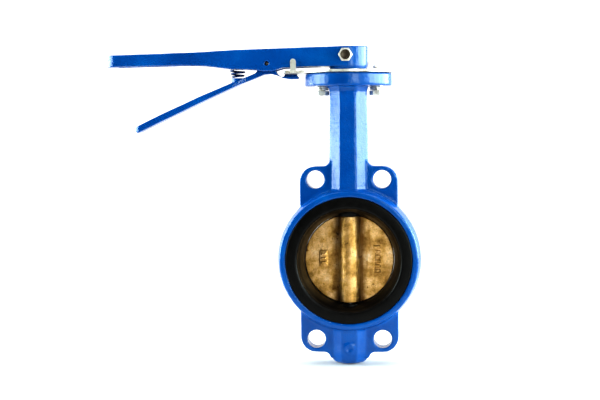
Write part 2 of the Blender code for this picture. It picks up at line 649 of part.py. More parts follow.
def build_clamp_bolt(look, parent):
    seat = -LEVER_HUB_RADIUS - GAP
    bolt = add_object("lever_clamp_bolt", hex_head("Y", CLAMP_BOLT_AT, seat, -1), look, parent)
    shank = cylinder(PLATE_BOLT_RADIUS, seat - 0.001, -STEM_SQUARE_HALF - 0.0006, "Y", CLAMP_BOLT_AT)
    combine(bolt, "UNION", "shank", shank)
    face = seat - HEX_HEIGHT
    radius, depth = CLAMP_BOLT_DISH
    dish = cylinder(radius, face - 0.001, face + depth, "Y", CLAMP_BOLT_AT)
    combine(bolt, "DIFFERENCE", "dish", dish)


def trigger_side():
    """Side outline of the trigger as (X, Z): grip, pivot boss and nose."""
    boss = arc((PIVOT[0], PIVOT[2]), TRIGGER_BOSS_RADIUS, math.radians(200), math.radians(-30), 14)
    return list(TRIGGER_TOP_LINE) + boss + list(NOSE) + list(TRIGGER_UNDERSIDE)


def trigger_plan():
    """Plan outline of the trigger: a blade that fits the lever's channel, and a wider grip."""
    back = list(TRIGGER_HALF_WIDTHS)
    radius = TRIGGER_END_CORNER
    corner = arc((TRIGGER_END + radius, back[-1][1] - radius), radius, math.pi / 2, math.pi, 5)
    return back + corner + [(x, -y) for x, y in reversed(back + corner)]


def build_trigger(look, parent):
    trigger = add_object("trigger", prism(trigger_side(), -0.015, 0.015, "Y"), look, parent)
    foot_x, foot_z, foot_radius = SPRING_SEAT_FOOT
    foot = [(foot_x + a, b) for a, b in circle(foot_radius, STEPS_SMALL)]
    top = [(SPRING_X + a, b) for a, b in circle(SPRING_SEAT_RADIUS, STEPS_SMALL)]
    combine(trigger, "UNION", "spring_seat", loft(((foot_z, foot), (SPRING_SEAT_TOP, top))))
    combine(trigger, "INTERSECT", "plan", prism(trigger_plan(), 0.120, 0.230))
    tooth = box((TOOTH[0], -TOOTH_HALF_WIDTH, NOSE_TOP - 0.001), (TOOTH[1], TOOTH_HALF_WIDTH, TOOTH_TOP))
    combine(trigger, "UNION", "tooth", tooth)
    pin_hole = cylinder(PIN_RADIUS + GAP, -0.030, 0.030, "Y", (PIVOT[0], PIVOT[2]), 16)
    combine(trigger, "DIFFERENCE", "pin_hole", pin_hole)


def build_spring(look, parent):
    """Conical coil of round wire between the trigger's seat and the lever's underside."""
    pieces = int(SPRING_TURNS * 12)
    path = bpy.data.curves.new("trigger_spring", "CURVE")
    path.dimensions = "3D"
    path.bevel_depth = SPRING_WIRE
    path.bevel_resolution = 2
    path.use_fill_caps = True
    coil = path.splines.new("POLY")
    coil.points.add(pieces)
    for i, point in enumerate(coil.points):
        share = i / pieces
        turn = math.tau * SPRING_TURNS * share
        radius = SPRING_RADII[0] + (SPRING_RADII[1] - SPRING_RADII[0]) * share
        height = SPRING_HEIGHTS[0] + (SPRING_HEIGHTS[1] - SPRING_HEIGHTS[0]) * share
        point.co = (SPRING_X + radius * math.cos(turn), radius * math.sin(turn), height, 1)
    path.materials.append(look)
    made = bpy.data.objects.new("trigger_spring", path)
    bpy.context.scene.collection.objects.link(made)
    made.parent = parent


def build_pin(look, parent):
    pin = cylinder(PIN_RADIUS, -PIN_HALF_LENGTH, PIN_HALF_LENGTH, "Y", (PIVOT[0], PIVOT[2]), 16)
    add_object("trigger_pin", pin, look, parent)


def build_valve():
    clear_scene()
    blue = material("blue_epoxy", (0.005, 0.085, 0.45), 0.28, 0.0)
    rubber = material("black_rubber", (0.018, 0.016, 0.016), 0.55, 0.0)
    bronze = material("cast_bronze", (0.52, 0.30, 0.09), 0.42, 1.0)
    steel = material("stainless_steel", (0.62, 0.61, 0.59), 0.28, 1.0)
    zinc = material("zinc_plate", (0.72, 0.71, 0.69), 0.35, 1.0)
    bush = material("white_polymer", (0.80, 0.78, 0.70), 0.50, 0.0)
    dark = material("dark_spring_steel", (0.03, 0.05, 0.14), 0.40, 1.0)

    stem_axis = joint_axis("stem_axis", (0, 0, 0))
    trigger_axis = joint_axis("trigger_axis", PIVOT)

    build_body(blue)
    build_liner(rubber)
    build_disc(bronze, stem_axis)
    build_stem(steel, stem_axis)
    build_bearings(bush, steel, rubber)
    build_plate(zinc)
    build_plate_bolts(steel, zinc)
    build_lever(blue, stem_axis)
    build_clamp_bolt(steel, stem_axis)
    build_pin(steel, stem_axis)
    build_spring(dark, stem_axis)
    build_trigger(blue, trigger_axis)


build_valve()
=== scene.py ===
"""A lever-operated wafer butterfly valve: cast, rubber, bronze and steel pieces round the CAD frame."""

import math

import bmesh
import bpy
import numpy as np
from mathutils import Matrix, Vector, noise


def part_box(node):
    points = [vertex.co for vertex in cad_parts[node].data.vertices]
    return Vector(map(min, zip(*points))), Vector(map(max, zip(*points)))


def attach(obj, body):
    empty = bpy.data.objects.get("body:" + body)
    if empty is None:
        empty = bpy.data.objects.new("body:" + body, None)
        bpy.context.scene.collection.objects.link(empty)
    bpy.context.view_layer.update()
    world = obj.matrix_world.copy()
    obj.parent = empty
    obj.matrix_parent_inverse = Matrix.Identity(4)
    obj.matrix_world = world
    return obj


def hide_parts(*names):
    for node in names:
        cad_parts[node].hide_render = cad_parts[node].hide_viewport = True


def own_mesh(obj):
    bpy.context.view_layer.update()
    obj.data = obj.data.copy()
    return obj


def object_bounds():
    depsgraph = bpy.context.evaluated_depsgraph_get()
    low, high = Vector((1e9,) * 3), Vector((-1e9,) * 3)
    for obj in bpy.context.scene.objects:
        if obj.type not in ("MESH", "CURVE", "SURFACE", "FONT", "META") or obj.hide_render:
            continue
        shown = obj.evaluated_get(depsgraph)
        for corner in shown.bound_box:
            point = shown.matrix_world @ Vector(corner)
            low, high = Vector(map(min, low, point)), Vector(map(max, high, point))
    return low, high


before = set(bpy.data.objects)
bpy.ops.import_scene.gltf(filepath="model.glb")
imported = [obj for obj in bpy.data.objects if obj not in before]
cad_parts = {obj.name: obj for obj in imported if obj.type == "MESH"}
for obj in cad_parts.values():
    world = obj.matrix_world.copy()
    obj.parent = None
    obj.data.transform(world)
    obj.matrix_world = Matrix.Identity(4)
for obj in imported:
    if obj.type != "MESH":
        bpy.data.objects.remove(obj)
CAD_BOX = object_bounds()

# Camera: where it stands, which way it looks (degrees) and its lens.
CAMERA_PLACE = (0.0540, -1.3489, 0.1374)
CAMERA_YAW = -4.468
CAMERA_PITCH = -3.212
CAMERA_ROLL = -0.502
CAMERA_LENS = 77.76

# Places, sizes (metres) and counts of the details, in the CAD frame. The pin's slot is an angle in radians.
GAP = 0.0003
LIP_FACE = 0.0260
BOSS_FRONT = 0.0194
BOSS_MARK_Z = -0.0918
MARK_RELIEF = 0.0012
STEM_HOLE = (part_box("stem")[1].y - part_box("stem")[0].y) / 2 + GAP
SEAT_STEPS = 160
SEAT_OUTSIDE = 0.0640
DISC_FACE = 0.0034
LEFT_PAD = (-0.0268, 0.0005)
LEFT_PAD_RELIEF = 0.0010
LEFT_BARS = 3
LEFT_BAR_PITCH = 0.0044
RIGHT_BAR_X = 0.0298
RIGHT_BARS = 6
RIGHT_BAR_PITCH = 0.0050
SUNK = 0.0002
SPRING_CENTRE = -0.1152
SPRING_TURNS = 2.3
SPRING_WIRE = 0.0010
SPRING_SMALL = 0.0054
SPRING_GROWTH = 0.0022
SPRING_FLAT_ENDS = 0.12
HEAD_FLATS = 0.0130
HEAD_HEIGHT = 0.0053
BOLT_RADIUS = 0.0040
HUB_DISH_RADIUS = 0.0050
PIN_OUTER = 0.0020
PIN_INNER = 0.0012
PIN_SLOT = 0.45
FLOOR_Z = CAD_BOX[0][2] - 0.0005
FLOOR_RADIUS = 0.60
FLOOR_DEPTH = 0.01

# The trigger's cuts: (x, z) outlines below its arm, beside its tooth and past the tooth's inner end.
UNDER_ARM = ((-0.1240, 0.1771), (-0.1119, 0.1825), (-0.1020, 0.1862), (-0.1020, 0.1700), (-0.1240, 0.1700))
BESIDE_TOOTH = ((-0.0690, 0.1902), (-0.0500, 0.1902), (-0.0500, 0.2000), (-0.0690, 0.2000))
PAST_TOOTH = ((-0.0530, 0.1902), (-0.0500, 0.1902), (-0.0500, 0.2000), (-0.0530, 0.2000))
TOOTH_HALF_WIDTH = 0.00175
TRIGGER_HALF_WIDTH = 0.0080


# Node-tree helpers.


class Look:
    """A material's node tree, with short ways to add nodes to it."""

    def __init__(self, name):
        self.made = bpy.data.materials.new(name)
        self.made.use_nodes = True
        self.tree = self.made.node_tree
        self.shader = self.tree.nodes["Principled BSDF"]
        self.where = self.tree.nodes.new("ShaderNodeTexCoord").outputs["Object"]

    def set(self, **values):
        for name, value in values.items():
            self.shader.inputs[name.replace("_", " ")].default_value = value

    def link(self, source, target):
        self.tree.links.new(source, target)

    def noise(self, scale, detail=3.0, roughness=0.5, stretch=None):
        node = self.tree.nodes.new("ShaderNodeTexNoise")
        node.inputs["Scale"].default_value = scale
        node.inputs["Detail"].default_value = detail
        node.inputs["Roughness"].default_value = roughness
        self.link(self.stretched(stretch) if stretch else self.where, node.inputs["Vector"])
        return node.outputs["Fac"]

    def part(self, axis):
        """One object coordinate, in metres."""
        node = self.tree.nodes.new("ShaderNodeSeparateXYZ")
        self.link(self.where, node.inputs[0])
        return node.outputs[axis]

    def stretched(self, stretch):
        node = self.tree.nodes.new("ShaderNodeMapping")
        node.inputs["Scale"].default_value = stretch
        self.link(self.where, node.inputs["Vector"])
        return node.outputs["Vector"]

    def cells(self, scale):
        node = self.tree.nodes.new("ShaderNodeTexVoronoi")
        node.inputs["Scale"].default_value = scale
        self.link(self.where, node.inputs["Vector"])
        return node.outputs["Distance"]

    def span(self, value, low, high, to_low, to_high):
        """value read from low..high onto to_low..to_high, held at the ends."""
        node = self.tree.nodes.new("ShaderNodeMapRange")
        ends = (("From Min", low), ("From Max", high), ("To Min", to_low), ("To Max", to_high))
        for name, number in ends:
            node.inputs[name].default_value = number
        self.link(value, node.inputs["Value"])
        return node.outputs["Result"]

    def ramp(self, value, *stops):
        """Colours by position: each stop is (position, (r, g, b))."""
        node = self.tree.nodes.new("ShaderNodeValToRGB")
        ramp = node.color_ramp
        while len(ramp.elements) < len(stops):
            ramp.elements.new(0.5)
        for element, (position, colour) in zip(ramp.elements, stops):
            element.position = position
            element.color = (*colour, 1.0)
        self.link(value, node.inputs["Fac"])
        return node.outputs["Color"]

    def sum(self, first, second, operation="ADD"):
        """Two values put together by a Math operation, which is addition unless it is named."""
        node = self.tree.nodes.new("ShaderNodeMath")
        node.operation = operation
        for value, socket in ((first, node.inputs[0]), (second, node.inputs[1])):
            if isinstance(value, (int, float)):
                socket.default_value = value
            else:
                self.link(value, socket)
        return node.outputs["Value"]

    def mixed(self, share, first, second):
        """The first colour with a share (0 to 1) of the second over it."""
        node = self.tree.nodes.new("ShaderNodeMix")
        node.data_type = "RGBA"
        node.clamp_factor = True
        for value, name in ((share, "Factor_Float"), (first, "A_Color"), (second, "B_Color")):
            socket = next(s for s in node.inputs if s.identifier == name)
            if isinstance(value, tuple):
                socket.default_value = (*value, 1.0)
            elif isinstance(value, (int, float)):
                socket.default_value = value
            else:
                self.link(value, socket)
        return next(s for s in node.outputs if s.identifier == "Result_Color")

    def colour(self, source):
        self.link(source, self.shader.inputs["Base Color"])

    def roughness(self, source):
        self.link(source, self.shader.inputs["Roughness"])

    def bumps(self, *layers):
        """Bumps in series: each layer is (height source, distance in metres, strength)."""
        normal = None
        for height, distance, strength in layers:
            node = self.tree.nodes.new("ShaderNodeBump")
            node.inputs["Strength"].default_value = strength
            node.inputs["Distance"].default_value = distance
            self.link(height, node.inputs["Height"])
            if normal:
                self.link(normal, node.inputs["Normal"])
            normal = node.outputs["Normal"]
        self.link(normal, self.shader.inputs["Normal"])


def blue_epoxy(name):
    """Glossy fusion-bonded epoxy over a sand casting: orange peel, slow thickness changes and grain."""
    look = Look(name)
    look.set(Roughness=0.3, Specular_IOR_Level=0.42)
    slow = look.noise(28, 3, 0.55)
    grain = look.noise(420, 4, 0.6)
    deep = look.ramp(slow, (0.30, (0.0003, 0.068, 0.28)), (0.55, (0.0004, 0.088, 0.34)),
                     (0.75, (0.0006, 0.118, 0.41)))
    look.colour(look.mixed(look.span(grain, 0.62, 0.80, 0, 0.22), deep, (0.002, 0.15, 0.50)))
    look.roughness(look.span(look.noise(90, 4, 0.6), 0.3, 0.7, 0.12, 0.24))
    peel = look.noise(520, 2, 0.45)
    sand = look.cells(900)
    look.bumps((slow, 0.0016, 0.25), (look.noise(130, 3, 0.5), 0.0007, 0.30), (peel, 0.00034, 0.50),
               (sand, 0.00020, 0.35))
    return look.made


def black_rubber(name):
    """Moulded EPDM: nearly black and satin, with a faint bloom and a fine grain."""
    look = Look(name)
    look.set(Roughness=0.42, Specular_IOR_Level=0.16)
    bloom = look.noise(60, 5, 0.6)
    look.colour(look.ramp(bloom, (0.35, (0.0035, 0.0031, 0.0030)), (0.70, (0.0080, 0.0068, 0.0063))))
    look.roughness(look.span(look.noise(220, 4, 0.6), 0.3, 0.7, 0.28, 0.42))
    look.bumps((look.noise(70, 3, 0.5), 0.0005, 0.25), (look.noise(1500, 2, 0.5), 0.00006, 0.5))
    return look.made


def cast_bronze(name):
    """Sand-cast aluminium bronze: mottled and pitted, with painted shade in the coves beside the hub and
    painted shade on the rim where it meets the seat.
    """
    look = Look(name)
    look.set(Metallic=1.0)
    mottle = look.noise(75, 6, 0.62)
    gold = look.ramp(mottle, (0.30, (0.19, 0.095, 0.026)), (0.46, (0.60, 0.345, 0.112)),
                     (0.60, (0.84, 0.54, 0.26)), (0.80, (0.97, 0.79, 0.55)))
    sandy = look.noise(700, 5, 0.7)
    gold = look.mixed(look.span(sandy, 0.50, 0.72, 0, 0.55), gold, (0.24, 0.115, 0.026))
    # Painted shade: the coves either side of the hub are darkened, less so on the left side than on the
    # right.
    aside = look.sum(look.part("X"), 0, "ABSOLUTE")
    beside_hub = look.sum(aside, look.span(mottle, 0.3, 0.7, -0.0012, 0.0012))
    inner_edge = look.span(beside_hub, 0.0083, 0.0108, 0, 0.90)
    outer_edge = look.span(beside_hub, 0.0138, 0.0192, 1, 0)
    painted_cove_shade = look.sum(inner_edge, outer_edge, "MULTIPLY")
    cove_shade_by_side = look.span(look.part("X"), -0.004, 0.004, 0.72, 1.0)
    gold = look.mixed(look.sum(painted_cove_shade, cove_shade_by_side, "MULTIPLY"), gold, (0.075, 0.030, 0.007))
    streak = look.span(look.noise(150, 4, 0.6, (1.0, 1.0, 0.15)), 0.52, 0.70, 0, 0.45)
    gold = look.mixed(streak, gold, (0.20, 0.095, 0.025))
    # Painted shade: a dark ring round the disc's rim, where it meets the seat.
    height = look.sum(look.part("Z"), 0, "ABSOLUTE")
    radius_squared = look.sum(look.sum(aside, 2, "POWER"), look.sum(height, 2, "POWER"))
    gold = look.mixed(look.span(radius_squared, 0.00204, 0.00212, 0, 0.9), gold, (0.06, 0.028, 0.010))
    blot = look.span(look.noise(120, 3, 0.6), 0.655, 0.70, 0, 0.85)
    gold = look.mixed(blot, gold, (0.070, 0.032, 0.012))
    pits = look.span(look.cells(95), 0.05, 0.11, 1, 0)
    rare = look.span(look.noise(38, 2, 0.5), 0.56, 0.62, 0, 1)
    holes = look.sum(pits, rare, "MULTIPLY")
    look.colour(look.mixed(holes, gold, (0.035, 0.018, 0.008)))
    look.roughness(look.span(look.noise(260, 5, 0.65), 0.3, 0.7, 0.34, 0.56))
    drag = look.noise(300, 3, 0.6, (1.0, 1.0, 0.06))
    look.bumps((look.noise(110, 4, 0.55), 0.0009, 0.45), (sandy, 0.00028, 0.60),
               (look.sum(holes, -1, "MULTIPLY"), 0.0006, 0.6), (drag, 0.00012, 0.35))
    return look.made


def bright_steel(name):
    """Turned stainless steel: bright, finely brushed, with faint brown stains."""
    look = Look(name)
    look.set(Metallic=1.0)
    stain = look.noise(240, 4, 0.6)
    look.colour(look.ramp(stain, (0.32, (0.40, 0.345, 0.285)), (0.50, (0.80, 0.785, 0.755)),
                          (0.80, (0.90, 0.89, 0.87))))
    look.roughness(look.span(look.noise(600, 3, 0.6, (0.2, 0.2, 3.0)), 0.3, 0.7, 0.154, 0.33))
    look.bumps((look.noise(1400, 3, 0.6, (0.15, 0.15, 3.0)), 0.00005, 0.5), (stain, 0.00008, 0.3))
    return look.made


def zinc_plating(name, tone):
    """Zinc-plated steel: pale, a little cloudy, with fine scratches and stains."""
    look = Look(name)
    look.set(Metallic=0.45)
    cloud = look.noise(110, 5, 0.6)
    stain, plain, bright = (tuple(tone * c for c in colour) for colour in
                            ((0.50, 0.40, 0.29), (0.84, 0.79, 0.71), (0.97, 0.94, 0.88)))
    pale = look.ramp(cloud, (0.30, stain), (0.46, plain), (0.75, bright))
    scratch = look.noise(900, 3, 0.65, (0.08, 1.0, 1.0))
    look.colour(look.mixed(look.span(scratch, 0.64, 0.74, 0, 0.5), pale, (0.42, 0.39, 0.35)))
    look.roughness(look.span(cloud, 0.3, 0.7, 0.24, 0.42))
    look.bumps((scratch, 0.00005, 0.4), (cloud, 0.0003, 0.15))
    return look.made


def dark_steel(name, colour):
    """Coated or oiled dark steel, worn a little brighter on its high spots."""
    look = Look(name)
    look.set(Metallic=0.6)
    worn = look.noise(520, 4, 0.6)
    bright = tuple(min(1.0, 3.5 * c + 0.03) for c in colour)
    look.colour(look.mixed(look.span(worn, 0.58, 0.74, 0, 0.7), colour, bright))
    look.roughness(look.span(worn, 0.3, 0.7, 0.28, 0.48))
    look.bumps((worn, 0.00008, 0.4))
    return look.made


def bearing_polymer(name):
    """Off-white filled polymer, faintly mottled and machined."""
    look = Look(name)
    look.set(Roughness=0.5)
    flecks = look.noise(800, 3, 0.6)
    look.colour(look.ramp(flecks, (0.35, (0.66, 0.63, 0.54)), (0.65, (0.83, 0.80, 0.72))))
    look.roughness(look.span(flecks, 0.3, 0.7, 0.42, 0.6))
    look.bumps((look.noise(900, 2, 0.5, (1, 1, 4)), 0.00005, 0.4))
    return look.made


# Mesh helpers.


PLACE = {
    "X": lambda a, b, c: (c, a, b),
    "Y": lambda a, b, c: (a, c, b),
    "Z": lambda a, b, c: (a, b, c),
}


def arc(centre, radius, start, end, pieces):
    """Points on an arc, both ends included."""
    turn = [start + (end - start) * i / pieces for i in range(pieces + 1)]
    return [(centre[0] + radius * math.cos(t), centre[1] + radius * math.sin(t)) for t in turn]


def filleted(corners, pieces=5):
    """A closed outline through (a, b, radius) corners, each rounded by its radius."""
    points = []
    for i, (a, b, radius) in enumerate(corners):
        here = Vector((a, b))
        if radius == 0:
            points.append((a, b))
            continue
        before = (Vector(corners[i - 1][:2]) - here).normalized()
        after = (Vector(corners[(i + 1) % len(corners)][:2]) - here).normalized()
        half = math.acos(max(-1.0, min(1.0, before.dot(after)))) / 2
        centre = here + (before + after).normalized() * radius / math.sin(half)
        first = here + before * radius / math.tan(half) - centre
        last = here + after * radius / math.tan(half) - centre
        sweep = first.angle_signed(last)
        for k in range(pieces + 1):
            spoke = first.copy()
            spoke.rotate(Matrix.Rotation(-sweep * k / pieces, 2))
            points.append(tuple(centre + spoke))
    return points


def faces_out(bm):
    bmesh.ops.recalc_face_normals(bm, faces=bm.faces)
    if bm.calc_volume(signed=True) < 0:
        bmesh.ops.reverse_faces(bm, faces=bm.faces)
    return bm


def loft(sections, axis="Z"):
    """A solid through outlines of equal length, each given as (height, outline)."""
    bm = bmesh.new()
    place = PLACE[axis]
    rings = [[bm.verts.new(place(a, b, height)) for a, b in outline] for height, outline in sections]
    for low, high in zip(rings, rings[1:]):
        for i in range(len(low)):
            j = (i + 1) % len(low)
            bm.faces.new((low[i], low[j], high[j], high[i]))
    bm.faces.new(reversed(rings[0]))
    bm.faces.new(rings[-1])
    return faces_out(bm)


def turned(profile, steps, axis="Z", centre=(0, 0)):
    """A closed (radius, height) profile turned about the axis; a solid where it meets radius 0."""
    bm = bmesh.new()
    place = PLACE[axis]
    rings = []
    for radius, height in profile:
        if radius == 0:
            rings.append([bm.verts.new(place(*centre, height))] * steps)
            continue
        turns = [math.tau * i / steps for i in range(steps)]
        rings.append([bm.verts.new(place(centre[0] + radius * math.cos(t),
                                         centre[1] + radius * math.sin(t), height)) for t in turns])
    for low, high in zip(rings, rings[1:] + rings[:1]):
        if low[0] is low[1] and high[0] is high[1]:
            continue
        for i in range(steps):
            j = (i + 1) % steps
            bm.faces.new(dict.fromkeys((low[i], low[j], high[j], high[i])))
    return faces_out(bm)


def new_object(name, bm):
    mesh = bpy.data.meshes.new(name)
    bm.to_mesh(mesh)
    bm.free()
    made = bpy.data.objects.new(name, mesh)
    bpy.context.scene.collection.objects.link(made)
    return made


def applied(piece):
    """The piece with its modifiers made permanent."""
    bpy.context.view_layer.update()
    graph = bpy.context.evaluated_depsgraph_get()
    mesh = bpy.data.meshes.new_from_object(piece.evaluated_get(graph))
    piece.modifiers.clear()
    old = piece.data
    piece.data = mesh
    mesh.name = piece.name
    bpy.data.meshes.remove(old)
    return piece


def combine(piece, operation, bm):
    other = new_object("other", bm)
    modifier = piece.modifiers.new("combine", "BOOLEAN")
    modifier.operation = operation
    modifier.solver = "EXACT"
    modifier.object = other
    applied(piece)
    bpy.data.objects.remove(other, do_unlink=True)
    return piece


def finished(piece, look, body, slot, *nodes, smooth_angle=35):
    """Gives a piece its material, shading and body, and hides the CAD nodes that it stands for; slot is not
    used.
    """
    piece.data.materials.clear()
    piece.data.materials.append(look)
    piece.data.shade_smooth()
    if smooth_angle:
        piece.data.set_sharp_from_angle(angle=math.radians(smooth_angle))
    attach(piece, body)
    if nodes:
        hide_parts(*nodes)
    return piece


def cad_copy(name, node):
    """A new object with a CAD node's solid, its corners merged."""
    bm = bmesh.new()
    bm.from_mesh(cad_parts[node].data)
    bmesh.ops.remove_doubles(bm, verts=bm.verts, dist=1e-6)
    return new_object(name, bm)


def cast(piece, voxel, rounds, waves):
    """Turns a sharp solid into a casting: remeshed, its corners rounded, its surface slightly uneven.

    waves are (wavelength, height) pairs in metres. The casting stays inside the solid's own box."""
    corners = np.array([corner[:] for corner in piece.bound_box])
    remesh = piece.modifiers.new("remesh", "REMESH")
    remesh.mode = "VOXEL"
    remesh.voxel_size = voxel
    remesh.adaptivity = 0
    smooth = piece.modifiers.new("smooth", "SMOOTH")
    smooth.factor = 0.5
    smooth.iterations = rounds
    applied(piece)
    mesh = piece.data
    count = len(mesh.vertices)
    places, normals = np.empty(count * 3), np.empty(count * 3)
    mesh.vertices.foreach_get("co", places)
    mesh.vertex_normals.foreach_get("vector", normals)
    places, normals = places.reshape(-1, 3), normals.reshape(-1, 3)
    lifts = [sum(height * noise.noise(Vector(place) / length) for length, height in waves)
             for place in places]
    moved = places + normals * np.array(lifts)[:, None]
    mesh.vertices.foreach_set("co", np.clip(moved, corners.min(axis=0), corners.max(axis=0)).ravel())
    mesh.update()
    return piece


# Pieces.


def raised_pad(centre, half_width, half_height, face, depth, corner):
    """A low plate with round corners and drafted edges on a face towards -Y."""
    x, z = centre

    def outline(grow):
        a, b = half_width + grow, half_height + grow
        return filleted([(x - a, z - b, corner), (x + a, z - b, corner),
                         (x + a, z + b, corner), (x - a, z + b, corner)], 3)

    foot, top = outline(0.0004), outline(-0.0002)
    return loft(((-face + 0.0005, foot), (-face, foot), (-face - depth, top)), "Y")


def make_body(look):
    """The body casting, with a plain raised foundry mark on the foot."""
    body = cad_copy("body_shell", "body_casting")
    root, top = -BOSS_FRONT + 0.0006, -BOSS_FRONT - MARK_RELIEF
    ring = [(0.0030, root), (0.0052, root), (0.0050, top), (0.0036, top)]
    combine(body, "UNION", turned(ring, 32, "Y", (0, BOSS_MARK_Z)))
    cast(body, 0.0012, 4, ((0.030, 0.00022), (0.009, 0.00010), (0.0030, 0.00005)))
    return finished(body, look, "valve_body", "blue_coating", "body_casting", smooth_angle=0)


def make_lever(look):
    """The hand lever, as cast."""
    lever = cad_copy("hand_lever", "lever")
    cast(lever, 0.0008, 5, ((0.030, 0.00025), (0.008, 0.00010), (0.0030, 0.00005)))
    return finished(lever, look, "spindle", "blue_coating", "lever", smooth_angle=0)


def make_trigger(look):
    """The trigger, as cast, with its arm flush below the spring and its tooth slimmer than the CAD's."""
    trigger = cad_copy("squeeze_trigger", "trigger")
    wide = TRIGGER_HALF_WIDTH
    cuts = ((-0.02, 0.02, UNDER_ARM), (TOOTH_HALF_WIDTH, wide, BESIDE_TOOTH),
            (-wide, -TOOTH_HALF_WIDTH, BESIDE_TOOTH), (-wide, wide, PAST_TOOTH))
    for low, high, outline in cuts:
        combine(trigger, "DIFFERENCE", loft(((low, outline), (high, outline)), "Y"))
    cast(trigger, 0.0006, 5, ((0.025, 0.00018), (0.007, 0.00010), (0.0030, 0.00004)))
    return finished(trigger, look, "trigger", "blue_coating", "trigger", smooth_angle=0)


def make_seat(look):
    """The rubber liner: flat lips, rounded throats, a crowned seat and a flat pad at each stem hole."""
    crown = [(0.04675, 0), (0.04677, -0.0030), (0.0469, -0.0060), (0.0471, -0.0080)]
    throat = [(0.0476, -0.0100), (0.0486, -0.0130), (0.0500, -0.0170), (0.0513, -0.0205)]
    lip = arc((0.0562, -LIP_FACE + 0.0034), 0.0034, math.pi, 1.5 * math.pi, 8)
    edge = arc((0.0640, -LIP_FACE + 0.0010), 0.0010, 1.5 * math.pi, math.tau, 4)
    back = [(0.0650, -0.0202), (0.0590, -0.0202), (0.0590, -0.0067), (0.0620, -0.0077)]
    front = crown + throat + lip + edge + back
    profile = front + [(radius, -y) for radius, y in reversed(front[1:])]
    seat = new_object("rubber_seat", turned(profile, SEAT_STEPS, "Y"))
    for low, high in ((0.0448, 0.0545), (-0.0545, -0.0464)):
        top, other = (low, high) if low > 0 else (high, low)
        step = math.copysign(0.0008, top)
        pad = [(0, top), (0.0132, top), (0.0138, top + 0.25 * step), (0.0142, top + step),
               (0.0142, other), (0, other)]
        combine(seat, "UNION", turned(pad, 64))
    hole = [(0, -SEAT_OUTSIDE), (STEM_HOLE, -SEAT_OUTSIDE), (STEM_HOLE, SEAT_OUTSIDE), (0, SEAT_OUTSIDE)]
    combine(seat, "DIFFERENCE", turned(hole, 64))
    return finished(seat, look, "valve_body", "seat_rubber", "seat_liner")


def make_disc(look):
    """The bronze disc, with plain raised pads on its wings."""
    disc = cad_copy("bronze_disc", "disc")
    pads = [(LEFT_PAD, 0.0040, 0.0078, DISC_FACE, LEFT_PAD_RELIEF, 0.0012)]
    for row in range(LEFT_BARS):
        place = (LEFT_PAD[0], LEFT_PAD[1] + (row - (LEFT_BARS - 1) / 2) * LEFT_BAR_PITCH)
        pads.append((place, 0.0022, 0.0011, DISC_FACE + LEFT_PAD_RELIEF, 0.0009, 0.0006))
    pads.append(((0.0262, 0.0000), 0.0006, 0.0140, DISC_FACE - SUNK, 0.0014, 0.0004))
    for row in range(RIGHT_BARS):
        place = (RIGHT_BAR_X, (row - (RIGHT_BARS - 1) / 2) * RIGHT_BAR_PITCH)
        pads.append((place, 0.0021, 0.0014, DISC_FACE - SUNK, 0.0015, 0.0007))
    for pad in pads:
        combine(disc, "UNION", raised_pad(*pad))
    cast(disc, 0.00045, 2, ((0.020, 0.00012), (0.005, 0.00010), (0.0018, 0.00006)))
    return finished(disc, look, "spindle", "cast_bronze", "disc", smooth_angle=0)


def hex_bolt(name, axis, centre, seat, dish, shank):
    """A hexagon head that points down its axis from the seat, chamfered and dished, on a shank profile."""
    end = seat - HEAD_HEIGHT
    corner = HEAD_FLATS / 2 / math.cos(math.pi / 6)
    turns = [math.tau * i / 6 for i in range(6)]
    outline = [(centre[0] + corner * math.cos(t), centre[1] + corner * math.sin(t)) for t in turns]
    bolt = new_object(name, loft(((seat - 0.0004, outline), (end, outline)), axis))
    chamfer_radius = 0.47 * HEAD_FLATS
    drop = (corner - chamfer_radius) * 0.5 + 0.0005
    wide = corner + 0.001
    cone = [(0, seat), (wide, seat), (wide, end + drop), (chamfer_radius, end), (0, end)]
    combine(bolt, "INTERSECT", turned(cone, 96, axis, centre))
    radius, depth = dish
    bowl = [(0, end + depth), (radius * 0.75, end + depth), (radius, end + depth * 0.3),
            (radius + 0.0002, end - 0.001), (0, end - 0.001)]
    combine(bolt, "DIFFERENCE", turned(bowl, 64, axis, centre))
    combine(bolt, "UNION", turned(shank, 48, axis, centre))
    return bolt


def threaded(radius, start, end, pitch=0.00125):
    """A shank profile along its axis from start to end, with thread grooves and a pointed tip."""
    way = math.copysign(1.0, end - start)
    count = int(abs(end - start) / pitch) - 1
    profile = [(0, start), (radius - 0.0001, start)]
    for i in range(count):
        low = start + way * pitch * (i + 0.3)
        profile += [(radius, low), (radius, low + way * 0.2 * pitch),
                    (radius - 0.0006, low + way * 0.5 * pitch), (radius - 0.0006, low + way * 0.65 * pitch)]
    return profile + [(radius - 0.0001, end - way * 0.0014), (radius - 0.0012, end), (0, end)]


